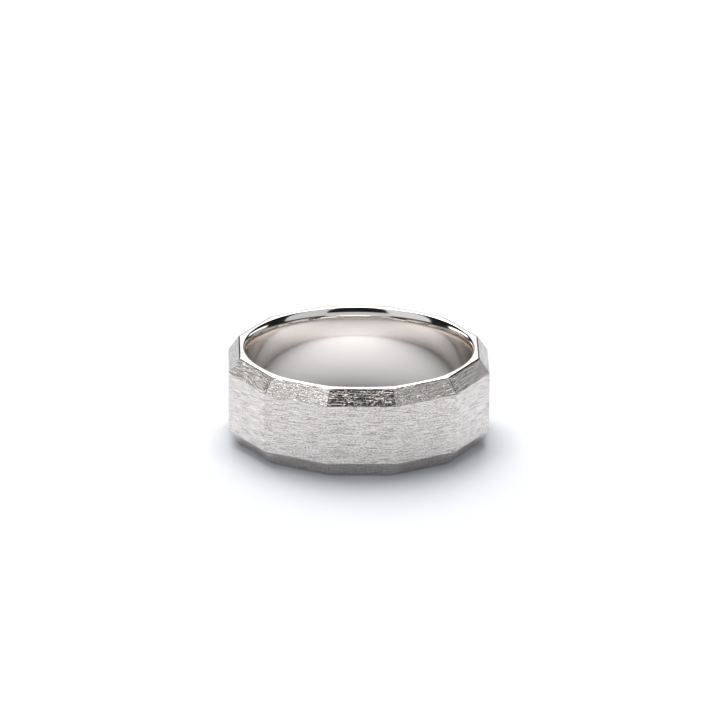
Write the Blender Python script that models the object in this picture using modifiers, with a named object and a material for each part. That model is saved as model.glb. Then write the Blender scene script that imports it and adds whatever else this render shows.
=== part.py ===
"""Faceted comfort-fit wedding band, modelled as the single solid piece of metal that it is.

+Z is the finger's axis. The band lies on its lower rim at z = 0 with the axis through the origin,
and one of its flats faces -Y. Sizes are in metres.
"""
import math

import bpy

# The blank
BAND_WIDTH = 0.0080  # along the finger, rim to rim
FLAT_COUNT = 12
ACROSS_FLATS = 0.0226
BEVEL_HEIGHT = 0.00137  # of the slanted facets, along the finger
BEVEL_INSET = 0.00093  # from the tall flats in to the rim

# The bore
BORE_CROWN_RADIUS = 0.00957  # tightest, half way along the finger
BORE_RIM_RADIUS = 0.01009
CROWN_RISE = 0.00012  # how far the wall bows in between its rolled edges
ROLL_HEIGHT = 0.00100  # of the rolled edge at each rim, along the finger
ROLL_POINTS = 5
WALL_POINTS = 5
BORE_STEPS = 96
CUTTER_OVERRUN = 0.0010  # how far the bore's cutter runs past each rim

# White gold: brushed outside, so the part as a whole is given the brushed finish
METAL_COLOUR = (0.78, 0.77, 0.755, 1.0)
METAL_ROUGHNESS = 0.32

MERGE_DISTANCE = 0.000001


def remove_all_objects():
    for old in list(bpy.data.objects):
        bpy.data.objects.remove(old, do_unlink=True)


def new_collection(name):
    collection = bpy.data.collections.new(name)
    bpy.context.scene.collection.children.link(collection)
    return collection


def white_gold():
    material = bpy.data.materials.new("white_gold")
    material.use_nodes = True
    shader = material.node_tree.nodes["Principled BSDF"]
    shader.inputs["Base Color"].default_value = METAL_COLOUR
    shader.inputs["Metallic"].default_value = 1.0
    shader.inputs["Roughness"].default_value = METAL_ROUGHNESS
    return material


def turned(name, profile, steps, smooth, collection):
    """A profile of (radius, height) points, read from the top down, swept once round the Z axis."""
    mesh = bpy.data.meshes.new(name)
    points = [(radius, 0.0, height) for radius, height in profile]
    edges = [(i, i + 1) for i in range(len(points) - 1)]
    mesh.from_pydata(points, edges, [])
    turned_object = bpy.data.objects.new(name, mesh)
    collection.objects.link(turned_object)
    screw = turned_object.modifiers.new("turn", "SCREW")
    screw.axis = "Z"
    screw.angle = 2 * math.pi
    screw.steps = steps
    screw.render_steps = steps
    screw.use_smooth_shade = smooth
    screw.use_merge_vertices = True
    screw.merge_threshold = MERGE_DISTANCE
    return turned_object


def blank_profile():
    """The outside of the band down one corner of its polygon: rim, bevel, tall wall, bevel, rim."""
    corner = 1 / math.cos(math.pi / FLAT_COUNT)
    wall = ACROSS_FLATS / 2 * corner
    rim = (ACROSS_FLATS / 2 - BEVEL_INSET) * corner
    return [
        (0.0, BAND_WIDTH),
        (rim, BAND_WIDTH),
        (wall, BAND_WIDTH - BEVEL_HEIGHT),
        (wall, BEVEL_HEIGHT),
        (rim, 0.0),
        (0.0, 0.0),
    ]


def wall_radius(height):
    """The crowned wall's radius: a shallow parabola, tightest half way along the finger."""
    reach = BAND_WIDTH / 2 - ROLL_HEIGHT
    return BORE_CROWN_RADIUS + CROWN_RISE * ((height - BAND_WIDTH / 2) / reach) ** 2


def rolled_edge():
    """The rolled edge at the upper rim: an elliptical quarter from the rim down to the wall."""
    foot = BAND_WIDTH - ROLL_HEIGHT
    spread = BORE_RIM_RADIUS - wall_radius(foot)
    points = []
    for i in range(ROLL_POINTS):
        turn = math.pi / 2 * i / ROLL_POINTS
        radius = BORE_RIM_RADIUS - spread * math.sin(turn)
        points.append((radius, foot + ROLL_HEIGHT * math.cos(turn)))
    return points


def bore_profile():
    """The bore from past the upper rim to past the lower one, closed on the axis at both ends."""
    upper = rolled_edge()
    lower = [(radius, BAND_WIDTH - height) for radius, height in reversed(upper)]
    foot = BAND_WIDTH - ROLL_HEIGHT
    step = (foot - ROLL_HEIGHT) / (WALL_POINTS - 1)
    heights = [foot - step * i for i in range(WALL_POINTS)]
    wall = [(wall_radius(height), height) for height in heights]
    top = BAND_WIDTH + CUTTER_OVERRUN
    bottom = -CUTTER_OVERRUN
    cap = [(0.0, top), (BORE_RIM_RADIUS, top)]
    foot_cap = [(BORE_RIM_RADIUS, bottom), (0.0, bottom)]
    return [*cap, *upper, *wall, *lower, *foot_cap]


def make_band():
    parts = new_collection("wedding_band")
    cutters = new_collection("cutters")

    bore = turned("bore_cutter", bore_profile(), BORE_STEPS, True, cutters)
    bore.hide_render = True
    bore.display_type = "WIRE"

    band = turned("band", blank_profile(), FLAT_COUNT, False, parts)
    band.rotation_euler.z = math.pi / FLAT_COUNT  # turns a flat, rather than a corner, to face -Y
    cut = band.modifiers.new("bore", "BOOLEAN")
    cut.operation = "DIFFERENCE"
    cut.solver = "EXACT"
    cut.object = bore
    band.data.materials.append(white_gold())


remove_all_objects()
make_band()
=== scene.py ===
import math

import bpy
import numpy as np
from mathutils import Matrix, Vector


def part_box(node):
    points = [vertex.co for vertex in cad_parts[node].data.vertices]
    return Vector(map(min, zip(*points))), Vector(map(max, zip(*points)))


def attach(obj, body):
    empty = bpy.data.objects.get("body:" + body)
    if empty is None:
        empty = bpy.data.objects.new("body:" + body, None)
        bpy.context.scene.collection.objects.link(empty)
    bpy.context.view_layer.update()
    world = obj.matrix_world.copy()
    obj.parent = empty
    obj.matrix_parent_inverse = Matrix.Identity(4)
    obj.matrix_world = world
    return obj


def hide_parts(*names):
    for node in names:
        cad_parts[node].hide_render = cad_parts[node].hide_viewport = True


# A faceted wedding band of white gold, lying on a pale table under soft studio light. +Z is the
# finger's axis and -Y is the front. Sizes are in metres where they don't say otherwise.
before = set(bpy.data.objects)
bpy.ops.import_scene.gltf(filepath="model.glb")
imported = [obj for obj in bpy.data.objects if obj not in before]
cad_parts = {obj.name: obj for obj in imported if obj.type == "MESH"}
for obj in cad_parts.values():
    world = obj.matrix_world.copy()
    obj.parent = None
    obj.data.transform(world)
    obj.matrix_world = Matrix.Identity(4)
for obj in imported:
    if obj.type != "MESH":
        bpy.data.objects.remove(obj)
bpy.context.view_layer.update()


# ---------------------------------------------------------------------------------------------
# The band
# One solid piece of white gold, cut from a seamless tube and turned to a comfort fit inside.
# Twelve tall flats are filed round it, with a slanted facet above and below each one, and the
# edges are eased by hand. Then the outside is brushed, and the rims and the bore are polished.

FLATS = 12
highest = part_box("band")[1]
FLAT_REACH = highest.x  # from the axis to a tall flat
BAND_WIDTH = highest.z  # along the finger

BEVEL_HEIGHT = 0.00137  # of the slanted facets, along the finger
BEVEL_INSET = 0.00093  # from the tall flats in to the rim
WALL_EDGE_RADIUS = 0.00012  # where a tall flat meets a slanted facet
RIM_EDGE_RADIUS = 0.00030  # where a slanted facet meets the flat rim
EDGE_POINTS = 7  # round each of those edges
EDGE_RUN = 0.4  # the straight run on each side of them, in parts of their radius

CORNER_RADIUS = 0.00030  # between one flat and the next
CORNER_SPACING = np.array([0.0, 0.3, 0.6, 0.85, 1.0, 1.2, 1.6])  # in parts of a corner's reach
FLAT_STEPS = 21  # along a flat, between its corners

BORE_RADIUS = 0.00957  # tightest, half way along the finger
BORE_CROWN = 0.00022  # how far the bore's wall bows in over the whole width
ROLL_HEIGHT = 0.00100  # of the rolled edge at each rim, along the finger
ROLL_SPREAD = 0.00030  # of the rolled edge, outwards
ROLL_STEPS = 21
BORE_STEPS = 8  # from a rolled edge to half way along the finger


def corner_distance(turn):
    """How far the outline of a twelve-sided figure lies from its centre, for flats at distance 1.

    Along a flat it is one over the cosine of the angle from the flat's middle. Near a corner it is
    the far side of a circle that touches both flats, as seen from the centre."""
    half = math.pi / FLATS
    radius = CORNER_RADIUS / FLAT_REACH
    centre = (1 - radius) / math.cos(half)
    reach = math.atan2(radius * math.sin(half), centre + radius * math.cos(half))
    off_middle = np.mod(turn + half, 2 * half) - half
    off_corner = half - np.abs(off_middle)
    across = np.clip(radius**2 - (centre * np.sin(off_corner)) ** 2, 0, None)
    rounded = centre * np.cos(off_corner) + np.sqrt(across)
    return np.where(off_corner < reach, rounded, 1 / np.cos(off_middle))


def column_turns():
    """Angles round the band from the front, and how many of them there are to a flat.

    Near a corner they are its reach, as an angle, times the spacing. Along a flat they are even."""
    half = math.pi / FLATS
    near = CORNER_RADIUS / FLAT_REACH * math.sin(half) * CORNER_SPACING
    along = np.linspace(near[-1], 2 * half - near[-1], FLAT_STEPS + 1)[1:-1]
    one_flat = np.concatenate([near, along, 2 * half - near[:0:-1]])
    starts = np.arange(FLATS) * 2 * half - half
    return (starts[:, None] + one_flat).ravel(), len(one_flat)


def edge_rounding(corner, first, last, radius):
    """The rounding of an edge, as (reach, height) points: an arc that touches both faces, whose
    outward normals stand at the angles first and last, with a short straight run at each end."""
    middle = (first + last) / 2
    back = radius / math.cos((last - first) / 2)
    centre = np.array(corner) - back * np.array([math.cos(middle), math.sin(middle)])
    turn = np.linspace(first, last, EDGE_POINTS)
    arc = centre + radius * np.column_stack([np.cos(turn), np.sin(turn)])
    run = EDGE_RUN * radius
    lead_in = arc[0] - run * np.array([-math.sin(first), math.cos(first)])
    lead_out = arc[-1] + run * np.array([-math.sin(last), math.cos(last)])
    return np.vstack([lead_in, arc, lead_out])


def bore_points():
    """The bore's upper half from the rim down, as (reach, height) points.

    Its wall is a shallow parabola, and the rolled edge adds a quarter of an ellipse to that."""
    half = BAND_WIDTH / 2
    foot = half - ROLL_HEIGHT
    roll = np.linspace(math.pi / 2, 0, ROLL_STEPS + 1)
    wall = np.linspace(foot, 0, BORE_STEPS + 1)[1:]
    rise = np.concatenate([foot + ROLL_HEIGHT * np.sin(roll), wall])
    spread = np.concatenate([ROLL_SPREAD * (1 - np.cos(roll)), np.zeros(BORE_STEPS)])
    reach = BORE_RADIUS + BORE_CROWN * (rise / half) ** 2 + spread
    return np.column_stack([reach, half + rise])


def band_profile():
    """The band's whole section, once round, as rows of reach, height and roundness.

    It starts half way up the tall flat and goes up over the bevel, the rim and the rolled edge,
    down the bore, and back up the outside. Roundness is 0 on the filed outside and 1 in the bore."""
    slant = math.atan2(BEVEL_INSET, BEVEL_HEIGHT)
    wall_top = (FLAT_REACH, BAND_WIDTH - BEVEL_HEIGHT)
    rim_edge = (FLAT_REACH - BEVEL_INSET, BAND_WIDTH)
    outside = np.vstack([
        [(FLAT_REACH, BAND_WIDTH / 2)],
        edge_rounding(wall_top, 0, slant, WALL_EDGE_RADIUS),
        edge_rounding(rim_edge, slant, math.pi / 2, RIM_EDGE_RADIUS),
    ])
    inside = bore_points()
    outer = np.column_stack([outside, np.zeros(len(outside))])
    inner = np.column_stack([inside, np.ones(len(inside))])
    upper = np.vstack([outer, inner])
    lower = upper[-2:0:-1] * [1, -1, 1] + [0, BAND_WIDTH, 0]
    return np.vstack([upper, lower])


def band_surface(profile, turns):
    """The band's points on a grid of profile rows by columns round it.

    A point's distance from the axis is its row's reach, times the outline's distance on the filed
    outside, and the same all the way round in the bore."""
    reach, height, roundness = profile.T[:, :, None]
    distance = reach * ((1 - roundness) * corner_distance(turns) + roundness)
    return np.stack([
        distance * np.sin(turns),
        -distance * np.cos(turns),
        height + 0 * turns,
    ], axis=-1)


def wrapped_faces(rows, columns):
    """Corner numbers of the four-sided faces of a grid that closes on itself both ways."""
    row = np.arange(rows)[:, None]
    column = np.arange(columns)[None, :]
    next_row = (row + 1) % rows
    next_column = (column + 1) % columns
    return np.stack([
        row * columns + column,
        row * columns + next_column,
        next_row * columns + next_column,
        next_row * columns + column,
    ], axis=-1).reshape(-1, 4)


profile = band_profile()
turns, columns_per_flat = column_turns()
points = band_surface(profile, turns)
rows, columns = points.shape[:2]

band_mesh = bpy.data.meshes.new("wedding_band")
band_mesh.from_pydata(points.reshape(-1, 3), [], wrapped_faces(rows, columns))
band_mesh.shade_smooth()
band = bpy.data.objects.new("wedding_band", band_mesh)
bpy.context.scene.collection.objects.link(band)

# Each tall flat and each facet is brushed by itself, and its strokes lean a little their own way.
FLAT_ROWS = EDGE_POINTS + 2  # rows of faces from a flat's middle to the end of its eased edge
BRUSHED_ROWS = FLAT_ROWS + 3  # on from there over the facet, and on to its eased upper edge
PATCHES = 3  # to each flat: itself, the facet above it and the facet below it
PATCH_SHIFT = np.array([7.31, 3.77])  # from one patch of strokes to the next, in millimetres
BRUSH_LEAN = 0.05  # the most that strokes lean, in radians
LEAN_START = 0.5  # where the first patch's lean is along a sine, in radians
LEAN_STEP = 2.4  # how far along it each next patch's lean is
MILLIMETRES = 1000  # in a metre

face_row = np.repeat(np.arange(rows), columns)
face_column = np.tile(np.arange(columns), rows)


def brush_map():
    """Where each corner of each face lies on the brush's own map, in millimetres.

    Its place along is the flat's distance times the tangent of its angle from the flat's middle,
    and its place up is its way round the section from there. A patch is then turned by a sine of
    its number, and moved off in proportion to that number."""
    spans = np.linalg.norm(np.diff(profile[:, :2], axis=0, append=profile[:1, :2]), axis=1)
    up = np.concatenate([[0], np.cumsum(spans)])
    face_flat = face_column // columns_per_flat
    flat_middle = face_flat * 2 * math.pi / FLATS
    turn_ahead = np.append(turns, turns[0] + 2 * math.pi)
    side = np.stack([face_column, face_column + 1, face_column + 1, face_column], axis=-1)
    level = np.stack([face_row, face_row, face_row + 1, face_row + 1], axis=-1)
    along = FLAT_REACH * np.tan(turn_ahead[side] - flat_middle[:, None])
    below = face_row >= rows // 2
    upward = up[level] - up[-1] * below[:, None]
    on_flat = (face_row < FLAT_ROWS) | (face_row >= rows - FLAT_ROWS)
    patch = face_flat * PATCHES + np.where(on_flat, 0, 1 + below)
    lean = BRUSH_LEAN * np.sin(patch * LEAN_STEP + LEAN_START)[:, None]
    places = np.stack([
        along * np.cos(lean) - upward * np.sin(lean),
        along * np.sin(lean) + upward * np.cos(lean),
    ], axis=-1)
    return places * MILLIMETRES + (patch[:, None] * PATCH_SHIFT)[:, None, :]


brush_layer = band_mesh.uv_layers.new(name="brush")
brush_layer.data.foreach_set("uv", brush_map().astype(np.float32).ravel())

WHITE_GOLD = (0.82, 0.785, 0.755, 1.0)
GROOVE_DUST_AND_SHADE = (0.34, 0.315, 0.30, 1.0)  # painted shade in the grooves, with the dust they hold

# The pad's marks: length and width in millimetres, lean in radians, and layers of finer detail
LONG_STROKE = (1.6, 0.10, 0.0, 2.0)
SHORT_STROKE = (0.55, 0.07, 0.03, 2.0)
CROSSING_STROKE = (0.9, 0.05, 0.35, 1.0)
DEEP_SCRATCH = (2.6, 0.06, 0.04, 0.0)
# The next two lay out where the grooves get painted shade and dust
DUST_AND_SHADE_STREAK = (1.5, 0.07, -0.02, 1.0)
DUST_AND_SHADE_SPECK = (0.18, 0.07, 0.05, 1.0)
STROKE_FRAY = 0.6  # how strong the finer layers are

BRUSH_DEPTH = 0.000025
CROSSING_SHARE = 0.3  # how deep a crossing stroke is, against a long one
SCRATCH_SHARE = 0.2  # how deep a scratch is, against a long stroke
SCRATCH_LOW = 0.68  # only the highest part of the scratches' noise is a scratch
SCRATCH_HIGH = SCRATCH_LOW + 0.08
BRUSHED_SMOOTHEST = 0.12
BRUSHED_ROUGHEST = 0.22
SPECK_SHARE = 0.5  # how much of the painted groove shade and dust is specks, and the rest is streaks
SCRATCH_SHADE = 0.03  # how much more painted shade and dust a deep scratch gets
# The grooves get full painted shade and dust below the first of these levels, and none above the second
DUST_AND_SHADE_LOW = 0.34
DUST_AND_SHADE_HIGH = 0.52

SMEAR_SCALE = 900.0  # how close together the polishing cloth's smears lie, per metre
SMEAR_DETAIL = 3.0
POLISH_SMOOTHEST = 0.06
POLISH_ROUGHEST = 0.12


def feed(tree, socket, value):
    """Gives a socket a number or colour, or links another node's output to it."""
    if isinstance(value, bpy.types.NodeSocket):
        tree.links.new(value, socket)
    else:
        socket.default_value = value


def shader_node(tree, kind, **settings):
    """A node of the kind, with its properties set by name and its inputs by socket name."""
    node = tree.nodes.new(kind)
    for name, value in settings.items():
        if hasattr(node, name):
            setattr(node, name, value)
        else:
            feed(tree, node.inputs[name.replace("_", " ")], value)
    return node


def arithmetic(tree, operation, first, second=0.0):
    """The output of a Math node that works on two values or outputs."""
    node = shader_node(tree, "ShaderNodeMath", operation=operation)
    feed(tree, node.inputs[0], first)
    feed(tree, node.inputs[1], second)
    return node.outputs[0]


def ramp(tree, value, low, high, first=0.0, last=1.0, curve="LINEAR"):
    """A number that goes from first to last as the value goes from low to high, and no further."""
    node = shader_node(tree, "ShaderNodeMapRange", interpolation_type=curve, Value=value,
                       From_Min=low, From_Max=high, To_Min=first, To_Max=last)
    return node.outputs[0]


def two_colours(tree, share, first, last):
    """A colour between two: the first where the share is 0, and the last where it is 1."""
    node = shader_node(tree, "ShaderNodeValToRGB", Fac=share)
    node.color_ramp.elements[0].color = first
    node.color_ramp.elements[1].color = last
    return node.outputs[0]


def metal(name):
    """A new metal material: itself, its tree, and its shader with the gold's colour."""
    material = bpy.data.materials.new(name)
    material.use_nodes = True
    tree = material.node_tree
    shader = tree.nodes["Principled BSDF"]
    shader.inputs["Base Color"].default_value = WHITE_GOLD
    shader.inputs["Metallic"].default_value = 1.0
    return material, tree, shader


def strokes(tree, place, length, width, lean, detail):
    """Marks of a length and width in millimetres, leaning by an angle: noise drawn out one way."""
    leant = shader_node(tree, "ShaderNodeMapping", Vector=place, Rotation=(0, 0, lean))
    drawn = shader_node(tree, "ShaderNodeVectorMath", operation="MULTIPLY")
    feed(tree, drawn.inputs[0], leant.outputs[0])
    feed(tree, drawn.inputs[1], (1 / length, 1 / width, 1))
    noise = shader_node(tree, "ShaderNodeTexNoise", Scale=1.0, Detail=detail, Roughness=STROKE_FRAY)
    noise.noise_dimensions = "2D"
    feed(tree, noise.inputs["Vector"], drawn.outputs[0])
    return noise.outputs["Fac"]


def brushed_gold():
    """White gold under the abrasive pad.

    Its height is long and short strokes added together, with a share of strokes that cross them,
    less a share of the scratches. Its roughness follows the short strokes. Its colour goes to a
    painted grey of shade and dust in the grooves where a mixture of streaks and specks, less the
    scratches, is low."""
    material, tree, shader = metal("brushed_white_gold")
    place = shader_node(tree, "ShaderNodeUVMap", uv_map="brush").outputs[0]
    long_strokes = strokes(tree, place, *LONG_STROKE)
    short_strokes = strokes(tree, place, *SHORT_STROKE)
    crossing = arithmetic(tree, "MULTIPLY", strokes(tree, place, *CROSSING_STROKE), CROSSING_SHARE)
    scratches = ramp(tree, strokes(tree, place, *DEEP_SCRATCH), SCRATCH_LOW, SCRATCH_HIGH)
    height = arithmetic(tree, "ADD", long_strokes, short_strokes)
    height = arithmetic(tree, "ADD", height, crossing)
    cut = arithmetic(tree, "MULTIPLY", scratches, SCRATCH_SHARE)
    height = arithmetic(tree, "SUBTRACT", height, cut)
    relief = shader_node(tree, "ShaderNodeBump", Strength=1.0, Distance=BRUSH_DEPTH, Height=height)
    feed(tree, shader.inputs["Normal"], relief.outputs[0])

    rough = ramp(tree, short_strokes, 0.0, 1.0, BRUSHED_SMOOTHEST, BRUSHED_ROUGHEST)
    feed(tree, shader.inputs["Roughness"], rough)

    # Painted shade and dust in the grooves: the colour turns grey where the streaks and specks are low
    streaks = arithmetic(tree, "MULTIPLY", strokes(tree, place, *DUST_AND_SHADE_STREAK), 1 - SPECK_SHARE)
    specks = arithmetic(tree, "MULTIPLY", strokes(tree, place, *DUST_AND_SHADE_SPECK), SPECK_SHARE)
    shade = arithmetic(tree, "MULTIPLY", scratches, SCRATCH_SHADE)
    undarkened = arithmetic(tree, "SUBTRACT", arithmetic(tree, "ADD", streaks, specks), shade)
    undarkened = ramp(tree, undarkened, DUST_AND_SHADE_LOW, DUST_AND_SHADE_HIGH)
    feed(tree, shader.inputs["Base Color"], two_colours(tree, undarkened, GROOVE_DUST_AND_SHADE, WHITE_GOLD))
    return material


def polished_gold():
    """White gold off the polishing wheel: a mirror, whose gloss varies with faint smears."""
    material, tree, shader = metal("polished_white_gold")
    place = shader_node(tree, "ShaderNodeTexCoord").outputs["Object"]
    smears = shader_node(tree, "ShaderNodeTexNoise", Scale=SMEAR_SCALE, Detail=SMEAR_DETAIL, Vector=place)
    rough = ramp(tree, smears.outputs["Fac"], 0.0, 1.0, POLISH_SMOOTHEST, POLISH_ROUGHEST)
    feed(tree, shader.inputs["Roughness"], rough)
    return material


band_mesh.materials.append(brushed_gold())
band_mesh.materials.append(polished_gold())
polished = (face_row >= BRUSHED_ROWS) & (face_row < rows - BRUSHED_ROWS)
band_mesh.polygons.foreach_set("material_index", polished.astype(np.int32))

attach(band, "root")
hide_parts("band")


# ---------------------------------------------------------------------------------------------
# The table
# A sheet of matt white card that the band lies on, faintly blue, with the fine tooth of paper
# pulp. It isn't part of the object.

TABLE_REACH = 3.0
TABLE_GAP = 0.00001  # below the lower rim, so that the two never share a plane
CARD_WHITE = (0.845, 0.862, 0.906, 1.0)
CARD_SHADE = (0.833, 0.850, 0.893, 1.0)
FIBRE_SCALE = 1800  # how close together the paper's fibres lie, per metre
FIBRE_DETAIL = 4.0
FIBRE_DEPTH = 0.000002

corners = np.array([(-1, -1, 0), (1, -1, 0), (1, 1, 0), (-1, 1, 0)]) * TABLE_REACH
corners[:, 2] = -TABLE_GAP
table_mesh = bpy.data.meshes.new("table")
table_mesh.from_pydata(corners, [], [(0, 1, 2, 3)])
table = bpy.data.objects.new("table", table_mesh)
bpy.context.scene.collection.objects.link(table)

card = bpy.data.materials.new("white_card")
card.use_nodes = True
pulp = card.node_tree
paper = shader_node(pulp, "ShaderNodeTexCoord").outputs["Object"]
noise = shader_node(pulp, "ShaderNodeTexNoise", Scale=FIBRE_SCALE, Detail=FIBRE_DETAIL, Vector=paper)
fibres = noise.outputs["Fac"]
tooth = shader_node(pulp, "ShaderNodeBump", Distance=FIBRE_DEPTH, Height=fibres)
card_shader = pulp.nodes["Principled BSDF"]
feed(pulp, card_shader.inputs["Base Color"], two_colours(pulp, fibres, CARD_SHADE, CARD_WHITE))
feed(pulp, card_shader.inputs["Normal"], tooth.outputs[0])
card_shader.inputs["Roughness"].default_value = 1.0
card_shader.inputs["Specular IOR Level"].default_value = 0.0
table_mesh.materials.append(card)


# ---------------------------------------------------------------------------------------------
# The light
# A big soft box behind and overhead, a dim one low behind for the rims, tall panels left and right
# of the camera with a low one between, and a bright strip low down on each side. The gaps between
# them are left dark, and the polished metal shows them as its black lines.

KEY_LIGHT = 4.75
ROOM_LIGHT = 0.015  # in the gaps
PANEL_TINT = (0.95, 0.975, 1.0, 1.0)  # of the dimmest light
KEY_TINT = (1.0, 0.99, 0.975, 1.0)  # of the brightest
BACKDROP_LIGHT = 1.1  # that the camera sees beyond the table
BACKDROP_WHITE = (1.0, 1.0, 1.0, 1.0)

# Soft boxes: bearing and tilt in degrees, then half their width, half their height and the
# softness of their edges in parts of their distance, then brightness
OVERHEAD_BOX = (-172, 60, 0.44, 0.58, 0.06, KEY_LIGHT)
BACK_BOX = (180, 24, 0.40, 0.14, 0.05, 1.4)
FACING = 0.02  # a direction that points less than this towards a soft box misses it
LEAST_AHEAD = 0.001  # keeps the sums from dividing by nothing there

# Panels: the bearings of their sides, the elevations of their lower and upper edges and the
# softness of their edges in degrees, then brightness
LEFT_PANEL = (-78, -31.5, 6, 70, 3, 0.85)
RIGHT_PANEL = (31.5, 78, 6, 70, 3, 0.70)
FRONT_PANEL = (-33, 33, -10, 17, 3, 0.68)
LEFT_STRIP = (-138, -104, 5, 12, 6, 3.2)
RIGHT_STRIP = (104, 138, 5, 12, 6, 1.9)

LIGHT_BOUNCES = 20
GLOSS_BOUNCES = 16  # light goes round the bore in many small bounces

world = bpy.data.worlds.new("studio")
bpy.context.scene.world = world
world.use_nodes = True
sky = world.node_tree
sky.nodes.clear()

direction = shader_node(sky, "ShaderNodeTexCoord").outputs["Generated"]
east, north, rise = shader_node(sky, "ShaderNodeSeparateXYZ", Vector=direction).outputs
azimuth = arithmetic(sky, "ARCTAN2", east, arithmetic(sky, "MULTIPLY", north, -1))
azimuth = arithmetic(sky, "MULTIPLY", azimuth, 180 / math.pi)
elevation = arithmetic(sky, "MULTIPLY", arithmetic(sky, "ARCSINE", rise), 180 / math.pi)


def step_up(value, at, softness):
    """0 below a value and 1 above it, by a smooth step as wide as the softness."""
    return ramp(sky, value, at - softness / 2, at + softness / 2, curve="SMOOTHSTEP")


def between(value, low, high, softness):
    """1 between two values and 0 outside them: the first one's step less the second one's."""
    first = step_up(value, low, softness)
    return arithmetic(sky, "SUBTRACT", first, step_up(value, high, softness))


def panel(left, right, low, high, softness, strength):
    """A lit rectangle of the room, between two bearings and two elevations in degrees."""
    sides = between(azimuth, left, right, softness)
    levels = between(elevation, low, high, softness)
    return arithmetic(sky, "MULTIPLY", arithmetic(sky, "MULTIPLY", sides, levels), strength)


def soft_box(bearing, tilt, half_width, half_height, softness, strength):
    """A lit rectangle of the room, square on to a bearing and elevation in degrees.

    A direction's places across and up it are its parts along those ways over its part straight
    at it, and it is lit where both are less than its half sizes."""
    turn = math.radians(bearing)
    lift = math.radians(tilt)
    facing = (math.sin(turn) * math.cos(lift), -math.cos(turn) * math.cos(lift), math.sin(lift))
    across = (math.cos(turn), math.sin(turn), 0.0)
    upward = (-math.sin(turn) * math.sin(lift), math.cos(turn) * math.sin(lift), math.cos(lift))
    parts = []
    for way in (facing, across, upward):
        dot = shader_node(sky, "ShaderNodeVectorMath", operation="DOT_PRODUCT")
        feed(sky, dot.inputs[0], direction)
        feed(sky, dot.inputs[1], way)
        parts.append(dot.outputs["Value"])
    ahead = arithmetic(sky, "MAXIMUM", parts[0], LEAST_AHEAD)
    inside = step_up(parts[0], FACING, FACING)
    for part, half in zip(parts[1:], (half_width, half_height)):
        place = arithmetic(sky, "ABSOLUTE", arithmetic(sky, "DIVIDE", part, ahead))
        edge = arithmetic(sky, "SUBTRACT", 1.0, step_up(place, half, softness))
        inside = arithmetic(sky, "MULTIPLY", inside, edge)
    return arithmetic(sky, "MULTIPLY", inside, strength)


# Where lights overlap, the brighter one shows, and the brighter a light is the warmer its tint.
lights = [soft_box(*sizes) for sizes in (OVERHEAD_BOX, BACK_BOX)]
lights += [panel(*sizes) for sizes in (LEFT_PANEL, RIGHT_PANEL, FRONT_PANEL, LEFT_STRIP, RIGHT_STRIP)]
brightness = ROOM_LIGHT
for light in lights:
    brightness = arithmetic(sky, "MAXIMUM", brightness, light)
warmth = arithmetic(sky, "DIVIDE", brightness, KEY_LIGHT)
tint = two_colours(sky, warmth, PANEL_TINT, KEY_TINT)

room = shader_node(sky, "ShaderNodeBackground", Color=tint, Strength=brightness)
backdrop = shader_node(sky, "ShaderNodeBackground", Color=BACKDROP_WHITE, Strength=BACKDROP_LIGHT)
seen = shader_node(sky, "ShaderNodeLightPath").outputs["Is Camera Ray"]
mix = shader_node(sky, "ShaderNodeMixShader", Fac=seen)
feed(sky, mix.inputs[1], room.outputs[0])
feed(sky, mix.inputs[2], backdrop.outputs[0])
shader_node(sky, "ShaderNodeOutputWorld", Surface=mix.outputs[0])

bpy.context.scene.view_settings.view_transform = "Standard"
bpy.context.scene.cycles.max_bounces = LIGHT_BOUNCES
bpy.context.scene.cycles.glossy_bounces = GLOSS_BOUNCES


# ---------------------------------------------------------------------------------------------
# The camera
# A long lens, well back and about 21 degrees above the table, aimed a little above the band and
# held very slightly off level.

CAMERA_DISTANCE = 0.8755
CAMERA_ELEVATION = math.radians(20.67)
CAMERA_AZIMUTH = math.radians(-1.5)
CAMERA_ROLL = math.radians(0.61)
AIM_RIGHT = 0.00011
AIM_UP = 0.00633
LENS = 502.2  # millimetres
SENSOR_WIDTH = 36  # millimetres

level_reach = math.cos(CAMERA_ELEVATION)
towards = Vector((
    math.sin(CAMERA_AZIMUTH) * level_reach,
    -math.cos(CAMERA_AZIMUTH) * level_reach,
    math.sin(CAMERA_ELEVATION),
))
right = Vector((math.cos(CAMERA_AZIMUTH), math.sin(CAMERA_AZIMUTH), 0))
upright = towards.cross(right)
place = towards * CAMERA_DISTANCE
aim = right * AIM_RIGHT + upright * AIM_UP
back = (place - aim).normalized()
right = upright.cross(back).normalized()
upright = back.cross(right)
rolled_right = right * math.cos(CAMERA_ROLL) + upright * math.sin(CAMERA_ROLL)
rolled_up = upright * math.cos(CAMERA_ROLL) - right * math.sin(CAMERA_ROLL)

lens = bpy.data.cameras.new("camera")
lens.sensor_width = SENSOR_WIDTH
lens.lens = LENS
camera = bpy.data.objects.new("camera", lens)
bpy.context.scene.collection.objects.link(camera)
axes = Matrix((rolled_right, rolled_up, back)).transposed()
camera.matrix_world = Matrix.Translation(place) @ axes.to_4x4()
bpy.context.scene.camera = camera
